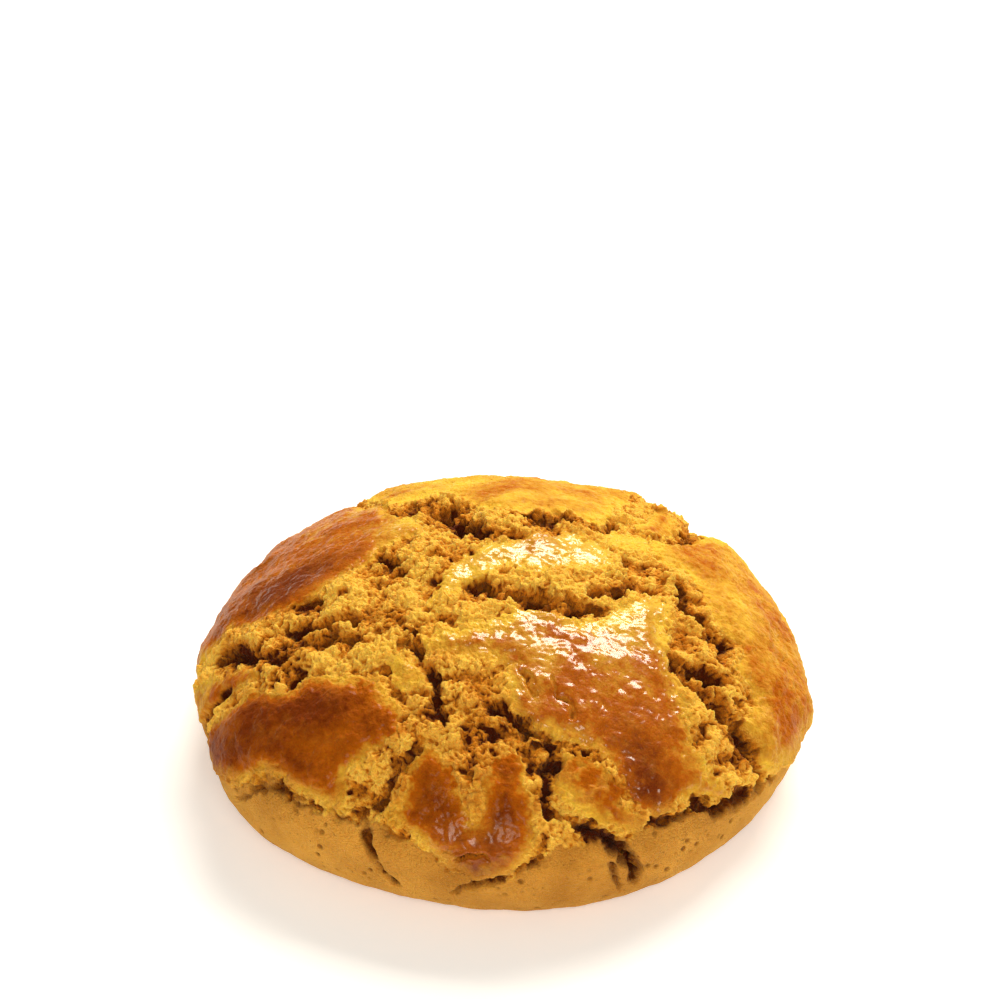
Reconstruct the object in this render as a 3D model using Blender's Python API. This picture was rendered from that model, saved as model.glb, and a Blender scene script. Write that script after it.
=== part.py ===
"""A round cornbread bun: one baked piece, domed, flat underneath, with a crust that has burst.

The bun is a sheet of quads wrapped from the crown, over the shoulder and down the pale skirt to
the rim of its flat underside. Places on it are given on a crust map, as if the crust were peeled
off and laid flat: the crown is (0, 0), +u is to the right, +v to the back, and the distance from
(0, 0) is the distance along the surface from the crown. Plates of glazed crust stand proud of
the torn crumb between them, and fissures run through the crumb.
"""

import itertools
import math

import bmesh
import bpy
import numpy as np

MM = 0.001  # the crust map and the relief are written in millimetres

# Overall size of the smooth bun, in millimetres
RADIUS = 51.7
HEIGHT = 38.6
WIDEST_AT = 12.0  # height of the widest ring above the table
BASE_RADIUS = 43.3
SHOULDER_POWER = 1.69  # 2 is an ellipse, less is more pointed
SKIRT_POWER = 2.13

# How far the outline strays from a circle: (waves round the bun, share of the radius, phase)
OUTLINE_WAVES = (
    (1, 0.0084, 0.71), (2, 0.0106, -2.98), (3, 0.0106, 2.18), (4, 0.0061, -2.69),
    (5, 0.0099, 0.69),
)  # fmt: skip

# Relief, in millimetres
CRUMB_DROP = 0.4  # the torn crumb lies this far below the smooth bun
PLATE_EDGE = 1.8  # width over which a plate rises from the crumb
MOUND_SIZE = 4.6
MOUND_HEIGHT = 2.2
MOUND_SHOVE_SIZE = 3.6  # the mounds are shoved about, so that they aren't round
MOUND_SHOVE = 1.2
CRAG_SIZE = 7.0
CRAG_HEIGHT = 1.5
EDGE_WANDER_SIZE = 7.0  # the ragged edge of plates and fissures
EDGE_WANDER = 0.9
FISSURE_FLARE = 0.75  # a fissure's lips flare out this share of its width to each side
RIM_FADE = 5.0  # the relief dies out over this distance above the rim

# Mesh
GRID_CELLS = 76  # quads along one side of the sheet
ROUTE_STEPS = 6  # straight pieces between two points of a route
PROFILE_STEPS = 400

# Where the crust ends and the pale skirt starts: (azimuth in degrees, distance from the crown)
SKIRT_EDGE = (
    (-180, 64), (-150, 63), (-143, 60), (-137, 56), (-125, 57), (-113, 55.5), (-100, 58),
    (-90, 62), (-80, 56), (-67, 57), (-57, 56.6), (-45, 60), (-30, 62), (0, 64),
    (30, 61), (55, 63), (80, 59), (105, 62), (130, 59), (155, 63), (180, 64),
)  # fmt: skip

# Plates of glazed crust: name, how far the middle stands proud of the smooth bun, outline
PLATES = (
    ("left shoulder", 0.6, (
        (-59, -5), (-51, -1.5), (-44, -4.5), (-38, -5), (-32, -4.5), (-28, -2.5), (-24, -0.5),
        (-21, 3), (-17, 5), (-13, 8), (-14, 12), (-17, 16), (-23, 26), (-30, 38), (-40, 44),
        (-54, 32), (-62, 12),
    )),
    ("back crown", 0.7, (
        (-20, 23), (-16, 21.8), (-9, 21.3), (-6.5, 18.5), (-4, 15), (0, 11.5), (5, 11.5),
        (10, 12.3), (15, 11.8), (18.5, 12), (19, 16), (20, 21), (25, 33), (32, 46), (21, 55),
        (9, 52), (5, 40), (-1, 43), (-4, 54), (-18, 56), (-27, 48), (-24, 34),
    )),
    ("back patch", 1.0, ((3, 46), (8, 56), (0, 61), (-5, 58), (0, 50))),
    ("right shoulder", 0.9, (
        (28, 13), (26.5, 8), (28, 3.5), (33, 4), (35, 0), (36.5, -6), (38, -10), (41, -13),
        (39.5, -18), (44, -21.5), (43, -27), (46, -31), (49, -33), (57, -27), (61, -12),
        (60, 10), (52, 28), (43, 36), (36, 22),
    )),
    ("crown right", 0.2, ((19, 5), (24, 6), (26, 11), (22, 11), (18, 8))),
    ("centre", 0.9, (
        (-13, -20.5), (-9, -19.5), (-5, -19), (1, -16.5), (2, -14.3), (6, -14), (9, -14.5),
        (12, -15.8), (15, -15.3), (20, -12), (24, -8), (27, -7.5), (29, -10), (28, -15),
        (28.3, -19), (30, -24), (31.5, -29), (33, -35), (35.5, -38), (41, -40.3), (42.5, -41.2),
        (38, -43), (32, -44.5), (29.5, -47.5), (27, -49), (24, -48), (21, -45), (18.5, -41.5),
        (15, -39.8), (9, -38.5), (4.5, -37.5), (1.5, -34.5), (0.8, -31), (0.5, -27.5), (-2, -26),
        (-8, -25), (-11, -23),
    )),
    ("tongue", 0.3, (
        (9.5, -41.5), (13, -40.8), (17, -42), (20, -45.5), (23.5, -49), (27, -50.5), (25, -53),
        (19, -52.5), (14, -50.5), (11, -48), (9.5, -45),
    )),
    ("crown patch", 0.3, (
        (-5, -1), (0, 0.5), (3, 3), (7, 5), (13, 5), (18, 3.5), (19, 0), (17, -3), (13, -5),
        (8, -6.5), (4, -6), (0, -7), (-5, -10), (-12, -13.5), (-10, -8.5),
    )),
    ("left cheek", 1.2, (
        (-56, -21), (-49, -21), (-42, -21.5), (-36, -24), (-28, -24), (-22, -26), (-18, -30),
        (-16, -34), (-17, -38), (-22, -41), (-26, -43), (-27, -47), (-29, -48), (-34, -44),
        (-38, -40), (-42, -37), (-50, -36), (-57, -35), (-62, -27),
    )),
    ("cheek patch", 0.4, ((-18, -24.5), (-13, -24), (-12, -28), (-13.5, -30), (-17, -28.5))),
    ("lip patch", 0.3, ((-48, -16), (-44, -15), (-43, -18.5), (-47, -18.5))),
    ("chin", 1.0, (
        (-15.5, -46), (-15, -43), (-13, -40.5), (-10, -41), (-7, -44), (-5.5, -47.5),
        (-5, -50.5), (-3.5, -52), (-2, -50), (-0.5, -46.5), (0.5, -43), (2.5, -42.3), (4.5, -44),
        (5, -48), (6, -52), (5.5, -56), (3.5, -59), (0, -61.5), (-4, -63.5), (-8, -61.5),
        (-11, -57.5), (-15, -54.5), (-18, -51.5), (-17.5, -49),
    )),
)  # fmt: skip

# Fissures: name, width, depth, route
FISSURES = (
    ("chin", 3.6, 4.0, (
        (-3, -35.5), (0, -37), (3, -39.3), (6, -40.3), (8, -43), (9, -46.5), (9, -50),
        (11, -51.5), (15, -53), (20, -55), (24, -57.5), (28, -60.5),
    )),
    ("right", 4.6, 4.0, ((30, -23), (35, -25.5), (40, -27.5), (45, -31), (50, -36))),
    ("right branch", 3.6, 3.0, ((27, -18.5), (30, -21), (34, -21.5), (39, -21))),
    ("right upper", 4.0, 2.8, ((29, 1), (33, -4), (32, -8), (37, -12), (38, -18))),
    ("brow", 4.6, 3.4, ((-5, -10), (0, -11.3), (6, -12.8), (11, -13.8), (16, -13))),
    ("brow right", 3.0, 2.2, ((14, -8.5), (19, -9.5), (22, -6))),
    ("left", 4.8, 3.0, ((-51, -5), (-46, -11), (-38, -16), (-31, -16), (-21, -19))),
    ("left upper", 3.6, 2.2, ((-36, -10), (-29, -13), (-23, -12))),
    ("centre left", 3.4, 3.8, (
        (-14, -18), (-13, -23), (-10.5, -28), (-10, -33), (-9.5, -38), (-3, -41),
    )),
    ("cheek", 2.8, 2.4, ((-9.5, -38), (-15, -38), (-18, -44), (-20, -51))),
    ("crown left", 5.0, 3.6, ((-20, 20), (-14, 17), (-9, 13), (-6, 8), (-3, 4), (3, 3))),
    ("crown middle", 3.6, 2.6, ((-13, 10), (-10, 14), (-6, 17))),
    ("crown right", 4.2, 3.2, ((6, 8), (9, 10.5), (14, 10), (19, 10.5), (20, 15))),
    ("crown end", 5.0, 2.4, ((23, 12), (27, 16), (29.5, 22), (31, 30), (38, 44))),
    ("crown left hollow", 3.6, 2.4, ((-22, 2), (-18, 0), (-20.5, -3), (-15, -3))),
    ("crown right hollow", 4.0, 1.8, ((21, 2), (25, 0.5))),
    ("back left", 4.0, 2.0, ((-22, 25), (-27, 33), (-33, 46), (-36, 56))),
    ("back", 4.5, 4.0, ((2, 34), (3, 44), (-2, 50), (-6, 57))),
    ("left notch", 5.0, 2.5, ((-64, -16), (-58, -18), (-48, -17))),
    ("right seam", 2.4, 2.0, ((27, -51), (32, -47.5), (40, -44.5), (46, -41))),
    ("skirt left", 2.4, 2.0, ((-26, -51), (-25.5, -55), (-25, -59), (-22, -63))),
    ("skirt middle", 2.4, 1.6, ((-5, -64.5), (-8, -68))),
    ("skirt back", 3.0, 2.6, ((14, 52), (18, 63))),
    ("skirt back left", 2.6, 2.4, ((-44, 38), (-50, 45))),
)  # fmt: skip

# Broad rises and hollows of the whole bun: name, middle, half width, height
SWELLS = (
    ("left side", (-56, 8), 14, 0.5),
    ("left shoulder", (-30, 34), 14, -1.2),
    ("back left", (-14, 40), 14, -0.4),
    ("back", (2, 42), 14, -0.7),
    ("back right", (18, 40), 14, -0.9),
    ("right shoulder", (33, 32), 14, -0.6),
    ("right side", (57, 6), 14, -0.3),
    ("right cheek", (60, -14), 12, 0.6),
    ("left cheek", (-60, -22), 12, -1.2),
)

# Colours: the bun's overall baked tone
CRUST_COLOUR = (0.60, 0.27, 0.045, 1.0)
CRUST_ROUGHNESS = 0.45


def clear_scene():
    for thing in list(bpy.data.objects):
        bpy.data.objects.remove(thing, do_unlink=True)


def smoothstep(low, high, value):
    share = np.clip((value - low) / (high - low), 0.0, 1.0)
    return share * share * (3 - 2 * share)


def profile():
    """The bun's half outline from the crown to the rim: two superellipse quarters that meet at
    the widest ring. Gives radius, height and the distance along the outline, in millimetres."""
    turn = np.linspace(0, math.pi / 2, PROFILE_STEPS)
    upper_radius = RADIUS * np.sin(turn) ** (2 / SHOULDER_POWER)
    upper_height = WIDEST_AT + (HEIGHT - WIDEST_AT) * np.cos(turn) ** (2 / SHOULDER_POWER)
    lower_radius = BASE_RADIUS + (RADIUS - BASE_RADIUS) * np.cos(turn) ** (2 / SKIRT_POWER)
    lower_height = WIDEST_AT - WIDEST_AT * np.sin(turn) ** (2 / SKIRT_POWER)
    radius = np.append(upper_radius, lower_radius[1:])
    height = np.append(upper_height, lower_height[1:])
    step = np.hypot(np.diff(radius), np.diff(height))
    return radius, height, np.append(0, np.cumsum(step))


def sheet_to_map(sheet, reach):
    """Lays the square sheet, x and y from -1 to 1, on the round crust map: each square ring of
    the sheet becomes a circle, and the outermost one reaches the rim."""
    x, y = sheet[:, 0], sheet[:, 1]
    across = np.abs(x) > np.abs(y)
    ring = np.where(across, x, y)
    share = np.where(across, y, x) / np.where(np.abs(ring) < 1e-9, 1.0, ring)
    azimuth = np.where(across, share * math.pi / 4, math.pi / 2 - share * math.pi / 4)
    return np.stack([ring * np.cos(azimuth), ring * np.sin(azimuth)], 1) * reach


def smooth_route(points, closed=False):
    """A Catmull-Rom curve through a route's points, as short straight pieces."""
    corners = np.array(points, float)
    if closed:
        padded = np.vstack([corners[-1:], corners, corners[:2]])
    else:
        padded = np.vstack([corners[:1], corners, corners[-1:]])
    share = np.linspace(0, 1, ROUTE_STEPS, endpoint=False)[:, None]
    curve = []
    for a, b, c, d in zip(padded, padded[1:], padded[2:], padded[3:]):
        bend = (2 * a - 5 * b + 4 * c - d) * share**2 + (3 * (b - c) + d - a) * share**3
        curve.append(b + 0.5 * ((c - a) * share + bend))
    curve.append(corners[:1] if closed else corners[-1:])
    return np.vstack(curve)


def distance_to_route(places, route):
    """Each place's distance to the route, and how far along it, from 0 to 1, the nearest point
    is."""
    nearest = np.full(len(places), np.inf)
    along = np.zeros(len(places))
    for i, (start, end) in enumerate(zip(route, route[1:])):
        step = end - start
        share = np.clip((places - start) @ step / max(step @ step, 1e-12), 0, 1)
        gap = np.linalg.norm(places - start - share[:, None] * step, axis=1)
        closer = gap < nearest
        nearest[closer] = gap[closer]
        along[closer] = (i + share[closer]) / (len(route) - 1)
    return nearest, along


def depth_inside(places, outline):
    """How far inside the closed outline each place is: negative outside it."""
    distance, _ = distance_to_route(places, outline)
    crossings = np.zeros(len(places), int)
    for start, end in zip(outline, outline[1:]):
        spans = (start[1] > places[:, 1]) != (end[1] > places[:, 1])
        rise = np.where(end[1] == start[1], 1e-12, end[1] - start[1])
        meets = start[0] + (places[:, 1] - start[1]) / rise * (end[0] - start[0])
        crossings += spans & (places[:, 0] < meets)
    return np.where(crossings % 2 == 1, distance, -distance)


def hashed(cells, seed, channel):
    """A repeatable share from 0 to 1 for every whole-numbered cell of space."""
    x, y, z = (cells[:, axis].astype(np.int64) for axis in range(3))
    mixed = x * 73856093 ^ y * 19349663 ^ z * 83492791 ^ (seed * 60493 + channel * 9176263)
    for turn in (15, 12, 15):
        mixed = (mixed ^ (mixed >> turn)) * 739982445 & 0x7FFFFFFF
    return (mixed & 0xFFFFFF) / 0xFFFFFF


def noise_at(points, size, seed):
    """Smooth noise, mostly from -1 to 1, at 3-D points, with bumps about that size: every corner
    of a cubic lattice leans its own way, and the leans of the eight nearest are blended."""
    place = points / size
    cell = np.floor(place)
    offset = place - cell
    fade = offset**3 * (offset * (offset * 6 - 15) + 10)
    total = np.zeros(len(points))
    for corner in itertools.product((0, 1), repeat=3):
        lean = np.stack([hashed(cell + corner, seed, axis) for axis in range(3)], 1) * 2 - 1
        weight = np.where(corner, fade, 1 - fade).prod(1)
        total += weight * (lean * (offset - corner)).sum(1)
    return total * 1.8


def shove_at(points, size, seed):
    """Three noises side by side: a smooth random direction at every point."""
    return np.stack([noise_at(points, size, seed + axis) for axis in range(3)], 1)


def clumps_at(points, size, seed):
    """Rounded lumps from 0, in the creases between them, to 1, at the middle of a lump: one
    minus the distance to the nearest of the scattered middles, one to a cell of the lattice."""
    place = points / size
    cell = np.floor(place)
    nearest = np.full(len(points), np.inf)
    for step in itertools.product((-1, 0, 1), repeat=3):
        near = cell + step
        middle = near + np.stack([hashed(near, seed, axis) for axis in range(3)], 1)
        nearest = np.minimum(nearest, ((place - middle) ** 2).sum(1))
    return np.clip(1 - nearest * 1.2, 0, 1)


def relief(places, points):
    """How far the surface stands out of the smooth bun, in millimetres, at each place of the
    crust map and the 3-D point where it lies."""
    ragged = places + EDGE_WANDER * shove_at(points, EDGE_WANDER_SIZE, 1)[:, :2]
    azimuth = np.degrees(np.arctan2(places[:, 1], places[:, 0]))
    from_crown = np.hypot(ragged[:, 0], ragged[:, 1])
    skirt_line = np.interp(azimuth, *zip(*SKIRT_EDGE))
    skirt = smoothstep(-PLATE_EDGE, PLATE_EDGE, from_crown - skirt_line)

    shoved = points + MOUND_SHOVE * shove_at(points, MOUND_SHOVE_SIZE, 61)
    mounds = MOUND_HEIGHT * (clumps_at(shoved, MOUND_SIZE, 3) - 0.55)
    crags = CRAG_HEIGHT * noise_at(points, CRAG_SIZE, 5)
    height = (mounds + crags - CRUMB_DROP) * (1 - skirt)
    for _, lift, outline in PLATES:
        inside = depth_inside(ragged, smooth_route(outline, closed=True))
        plate = smoothstep(-PLATE_EDGE / 2, PLATE_EDGE / 2, inside) * (1 - skirt)
        crown = lift * smoothstep(-1, 6, inside)
        height = height * (1 - plate) + crown * plate
    for _, width, depth, route in FISSURES:
        distance, along = distance_to_route(ragged, smooth_route(route))
        taper = smoothstep(0, 0.15, along) * smoothstep(0, 0.15, 1 - along)
        half = width * FISSURE_FLARE * (0.55 + 0.45 * taper)
        cut = 1 - smoothstep(0, half, distance)
        height = height - depth * (0.4 + 0.6 * taper) * cut
    for _, middle, reach, rise in SWELLS:
        height += rise * np.exp(-(((places - middle) / reach) ** 2).sum(1))
    return height


def soften(values):
    """Rounds off what is sharper than a quad: every value of the sheet becomes the weighted
    middle of itself, twice over, and its neighbours."""
    rows = values.reshape(GRID_CELLS + 1, GRID_CELLS + 1)
    for _ in range(2):
        padded = np.pad(rows, ((1, 1), (0, 0)), mode="edge")
        rows = ((padded[:-2] + 2 * padded[1:-1] + padded[2:]) / 4).T
    return rows.ravel()


def bun_points(sheet):
    """Every point of the sheet, wrapped over the bun and raised or sunk by the relief."""
    radius, height, distance = profile()
    places = sheet_to_map(sheet, distance[-1])
    from_crown = np.hypot(places[:, 0], places[:, 1])
    azimuth = np.arctan2(places[:, 1], places[:, 0])
    slope_radius = np.interp(from_crown, distance, np.gradient(radius, distance))
    slope_height = np.interp(from_crown, distance, np.gradient(height, distance))
    slope_length = np.hypot(slope_radius, slope_height)
    out_radius = -slope_height / slope_length
    out_height = slope_radius / slope_length
    ring = np.interp(from_crown, distance, radius)
    level = np.interp(from_crown, distance, height)
    smooth = np.stack([ring * np.cos(azimuth), ring * np.sin(azimuth), level], 1)

    fade = smoothstep(0, RIM_FADE, distance[-1] - from_crown)
    raised = soften(relief(places, smooth)) * fade
    ring = ring + raised * out_radius
    level = level + raised * out_height
    for waves, share, phase in OUTLINE_WAVES:
        ring = ring * (1 + share * np.cos(waves * azimuth + phase))
    return np.stack([ring * np.cos(azimuth), ring * np.sin(azimuth), level], 1) * MM


def crust_material():
    material = bpy.data.materials.new("baked_crust")
    material.use_nodes = True
    shader = material.node_tree.nodes["Principled BSDF"]
    shader.inputs["Base Color"].default_value = CRUST_COLOUR
    shader.inputs["Roughness"].default_value = CRUST_ROUGHNESS
    return material


def make_cornbread():
    """The whole bun: the wrapped sheet, closed underneath by one flat face."""
    bun = bmesh.new()
    bmesh.ops.create_grid(bun, x_segments=GRID_CELLS, y_segments=GRID_CELLS, size=1.0)
    sheet = np.array([vertex.co[:] for vertex in bun.verts])
    for vertex, point in zip(bun.verts, bun_points(sheet)):
        vertex.co = point
    rim = [edge for edge in bun.edges if edge.is_boundary]
    for edge in rim:
        for vertex in edge.verts:
            vertex.co.z = 0.0
    bmesh.ops.holes_fill(bun, edges=rim, sides=0)
    bmesh.ops.recalc_face_normals(bun, faces=bun.faces)

    corners = np.array([vertex.co[:] for vertex in bun.verts])
    middle = (corners.min(0) + corners.max(0)) / 2
    bmesh.ops.translate(bun, verts=bun.verts, vec=(-middle[0], -middle[1], 0))

    mesh = bpy.data.meshes.new("cornbread")
    bun.to_mesh(mesh)
    bun.free()
    mesh.shade_smooth()
    mesh.set_sharp_from_angle(angle=math.radians(80))
    mesh.materials.append(crust_material())
    cornbread = bpy.data.objects.new("cornbread", mesh)
    bpy.context.scene.collection.objects.link(cornbread)
    return cornbread


def main():
    clear_scene()
    make_cornbread()


main()
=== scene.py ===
"""A round cornbread bun with a burst, glazed crust, dressed for its looks.

The bun is one closed surface, worked out in millimetres from a crust map: the crust peeled off
and laid flat, with the crown at (0, 0), +u to the right, +v to the back, and the distance from
(0, 0) measured along the surface. Plates of glazed crust stand proud of torn crumb, fissures
cut through the crumb, and a pale skirt closes the bun down to its flat underside.
"""

import itertools
import logging
import math
from collections.abc import Sequence
from dataclasses import dataclass, field
from enum import Enum
from typing import Any

import bpy
import numpy as np
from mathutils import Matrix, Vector


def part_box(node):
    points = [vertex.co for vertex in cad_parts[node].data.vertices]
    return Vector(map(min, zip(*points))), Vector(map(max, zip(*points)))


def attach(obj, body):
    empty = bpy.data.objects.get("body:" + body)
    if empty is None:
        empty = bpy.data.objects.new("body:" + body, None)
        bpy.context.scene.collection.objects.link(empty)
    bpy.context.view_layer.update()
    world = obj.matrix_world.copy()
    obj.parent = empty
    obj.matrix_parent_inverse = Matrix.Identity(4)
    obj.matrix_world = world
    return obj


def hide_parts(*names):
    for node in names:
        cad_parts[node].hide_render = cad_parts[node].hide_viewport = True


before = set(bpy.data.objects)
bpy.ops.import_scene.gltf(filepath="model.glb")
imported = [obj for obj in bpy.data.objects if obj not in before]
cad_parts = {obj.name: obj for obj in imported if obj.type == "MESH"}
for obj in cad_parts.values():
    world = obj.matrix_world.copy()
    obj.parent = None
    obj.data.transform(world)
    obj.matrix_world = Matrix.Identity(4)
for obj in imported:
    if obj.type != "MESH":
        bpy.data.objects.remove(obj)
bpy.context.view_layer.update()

Array = np.ndarray
Place = tuple[float, float]
Waves = tuple[tuple[float, float, int], ...]  # height, size and seed of each noise in a sum

LOG = logging.getLogger("cornbread")
MM = 0.001  # the form is worked out in millimetres
NODE = "cornbread"
BODY = "root"
UV_MAP = "OFBake"
BAND_GAP = 0.02  # share of a band of the flat map that is left empty
FAR = 1e3  # stands for "nowhere near", in millimetres
TINY = 1e-12  # keeps a divisor off nought
PRIMES = (73856093, 19349663, 83492791, 60493)  # for a cell's three numbers and the seed
STIRRER = 739982445  # an odd number that carries low bits up
LOW_BITS, TEN_BITS = 0x7FFFFFFF, 0x3FF
NOISE_GAIN = 1.8  # brings the noise to about -1 to 1
LUMP_FALL = 1.2  # how steeply a lump falls away from its middle
LUMP_MEAN = 0.6  # about the mean height of lumps, taken off to keep them level with the rest


# ---------------------------------------------------------------- whole-array noise


def smoothstep(low: float, high: float, value: Array) -> Array:
    """A smooth ramp: 0 below low, 1 above high, 3t^2 - 2t^3 in between.

    Args:
        low: Value where the ramp starts.
        high: Value where the ramp ends.
        value: Values to map.

    Returns:
        The ramp's height at each value.
    """
    share = np.clip((value - low) / (high - low), 0.0, 1.0)
    return share * share * (3 - 2 * share)


def mixed_by(share: Array, first: Array, second: Array | float) -> Array:
    """The first where the share is 0, the second where it is 1, and in between a mix."""
    return first * (1 - share) + second * share


def hashed(cells: Array, seed: int) -> Array:
    """Three repeatable shares for every whole-numbered cell of space.

    The cell's three numbers are multiplied by large primes, mixed by exclusive or, and stirred
    by three rounds of shifting and multiplying. Each share is ten bits of the result.

    Args:
        cells: Whole numbers, one row of three for each cell.
        seed: Which pattern.

    Returns:
        Three shares from 0 to 1 for each cell.
    """
    x, y, z = cells.T
    mixed = x * PRIMES[0] ^ y * PRIMES[1] ^ z * PRIMES[2] ^ seed * PRIMES[3]
    for turn in (15, 12, 15):
        mixed = (mixed ^ (mixed >> turn)) * STIRRER & LOW_BITS
    return np.stack([(mixed >> turn & TEN_BITS) / TEN_BITS for turn in (1, 11, 21)], 1)


def noise_at(points: Array, size: float, seed: int) -> Array:
    """Smooth noise: each corner of a cubic lattice leans its own way, and the leans of the
    eight nearest corners are blended with the weight 6t^5 - 15t^4 + 10t^3.

    Args:
        points: Points in millimetres.
        size: Width of a bump.
        seed: Which pattern.

    Returns:
        Noise mostly from -1 to 1.
    """
    place = points / size
    cell = np.floor(place).astype(np.int64)
    offset = place - cell
    fade = offset**3 * (offset * (offset * 6 - 15) + 10)
    total = np.zeros(len(points))
    for corner in itertools.product((0, 1), repeat=3):
        x, y, z = (fade[:, i] if side else 1 - fade[:, i] for i, side in enumerate(corner))
        lean = hashed(cell + corner, seed) * 2 - 1
        total += x * y * z * np.einsum("ij,ij->i", lean, offset - corner)
    return total * NOISE_GAIN


def shove_at(points: Array, size: float, seed: int) -> Array:
    """Three noises side by side: a smooth random direction at every point."""
    return np.stack([noise_at(points, size, seed + axis) for axis in range(3)], 1)


def waves_at(points: Array, waves: Waves) -> Array:
    """Several noises, each times its own height, added up."""
    return sum(height * noise_at(points, size, seed) for height, size, seed in waves)


def clumps_at(points: Array, size: float, seed: int) -> tuple[Array, Array]:
    """Rounded lumps: one minus LUMP_FALL times the squared distance, counted in lattice cells,
    to the nearest of the scattered middles, of which each cell of the lattice has one.

    Args:
        points: Points in millimetres.
        size: Mean distance between the middles of two lumps.
        seed: Which pattern.

    Returns:
        0 in the creases between lumps to 1 at the middle of a lump, and each lump's own tone
        from 0 to 1.
    """
    place = points / size
    cell = np.floor(place).astype(np.int64)
    nearest = np.full(len(points), np.inf)
    tone = np.zeros(len(points))
    for step in itertools.product((-1, 0, 1), repeat=3):
        near = cell + step
        middle = hashed(near, seed)
        away = place - near - middle
        gap = np.einsum("ij,ij->i", away, away)
        tone = np.where(gap < nearest, middle[:, 0], tone)
        nearest = np.minimum(nearest, gap)
    return np.clip(1 - nearest * LUMP_FALL, 0, 1), tone


# ---------------------------------------------------------------- routes on the crust map


def smooth_route(points: Sequence[Place], closed: bool = False, steps: int = 6) -> Array:
    """A Catmull-Rom curve: each span is the cubic through its two ends whose slope at an end is
    half the step between that end's neighbours.

    Args:
        points: The places that the curve goes through.
        closed: Whether it comes back to its start.
        steps: Straight pieces between two places.

    Returns:
        The curve's corners, one row each.
    """
    corners = np.array(points, float)
    if closed:
        padded = np.vstack([corners[-1:], corners, corners[:2]])
    else:
        padded = np.vstack([corners[:1], corners, corners[-1:]])
    share = np.linspace(0, 1, steps, endpoint=False)[:, None]
    curve = []
    for a, b, c, d in zip(padded, padded[1:], padded[2:], padded[3:]):
        bend = (2 * a - 5 * b + 4 * c - d) * share**2 + (3 * (b - c) + d - a) * share**3
        curve.append(b + 0.5 * ((c - a) * share + bend))
    curve.append(corners[:1] if closed else corners[-1:])
    return np.vstack(curve)


def distance_to_route(places: Array, route: Array) -> tuple[Array, Array]:
    """Distance to a broken line: for each straight piece the place is dropped square onto it,
    kept between its ends, and the shortest drop wins.

    Args:
        places: Places on the crust map.
        route: The line's corners.

    Returns:
        The distance, and how far along the line, from 0 to 1, the nearest point is.
    """
    nearest = np.full(len(places), np.inf)
    along = np.zeros(len(places))
    for i, (start, end) in enumerate(zip(route, route[1:])):
        step = end - start
        share = np.clip((places - start) @ step / max(step @ step, TINY), 0, 1)
        gap = np.hypot(*(places - start - share[:, None] * step).T)
        closer = gap < nearest
        nearest[closer] = gap[closer]
        along[closer] = (i + share[closer]) / (len(route) - 1)
    return nearest, along


def depth_inside(places: Array, outline: Array) -> Array:
    """Distance to a closed outline, counted negative outside it: a place is inside if a level
    line to its right crosses the outline an odd number of times.

    Args:
        places: Places on the crust map.
        outline: The outline's corners, the first repeated at the end.

    Returns:
        How far inside each place is.
    """
    distance, _ = distance_to_route(places, outline)
    crossings = np.zeros(len(places), int)
    for start, end in zip(outline, outline[1:]):
        spans = (start[1] > places[:, 1]) != (end[1] > places[:, 1])
        rise = end[1] - start[1] or TINY
        meets = start[0] + (places[:, 1] - start[1]) / rise * (end[0] - start[0])
        crossings += spans & (places[:, 0] < meets)
    return np.where(crossings % 2 == 1, distance, -distance)


def close_to(places: Array, corners: Array, margin: float) -> Array:
    """Which places lie in the box round some corners, grown by a margin."""
    low, high = corners.min(0) - margin, corners.max(0) + margin
    return ((places > low) & (places < high)).all(1)


def spot_at(places: Array, middle: Place, reach: Place | float) -> Array:
    """A soft spot: e to the minus the squared distance from its middle, counted in reaches."""
    return np.exp(-(((places - middle) / reach) ** 2).sum(1))


# ---------------------------------------------------------------- what lies where


@dataclass(frozen=True)
class Plate:
    """A plate of glazed crust.

    lift is how far its middle stands proud of the smooth bun in millimetres, bake how dark the
    oven left it, and gloss how thick the glaze lies, both from 0 to 1. fray is how ragged the
    edge is, 1 for an ordinary edge, and wear how much of the crumb shows through, from 0 to 1.
    """

    name: str
    lift: float
    bake: float
    gloss: float
    fray: float
    wear: float
    outline: tuple[Place, ...]


@dataclass(frozen=True)
class Fissure:
    """A split through the crumb: its width and depth in millimetres, and its route."""

    name: str
    width: float
    depth: float
    route: tuple[Place, ...]


@dataclass(frozen=True)
class StainAndLight:
    """A soft spot of the crust: its middle and half widths, and what it adds to the bake and, on
    glaze, to the gloss there. Most are stains of the bake; those marked below are painted light or
    shade."""

    name: str
    middle: Place
    reach: Place
    bake: float
    gloss: float


@dataclass(frozen=True)
class Swell:
    """A broad rise, or hollow, of the whole bun: its middle, its half width and its height."""

    name: str
    middle: Place
    reach: float
    height: float


class Layer(Enum):
    """What the surface carries at each point: shares from 0 to 1, most of them put into the mesh
    as attributes of these names."""

    GLAZE = "glaze"
    # bake: mostly the oven's browning, with painted light and shade mixed in: paler plate rims, a
    # paler chin base, and a skirt paler on the left and darker on the right
    BAKE_AND_LIGHT = "bake"
    GLOSS = "gloss"
    # hollow: painted shade in fissures, between lumps and grains, in pits and pores and along the
    # skirt's seam, plus broad random browning and the underside's browning
    SHADE_AND_BROWNING = "hollow"
    SKIRT = "skirt"
    TORN = "torn"
    TONE = "tone"
    RIM = "rim"


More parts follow.
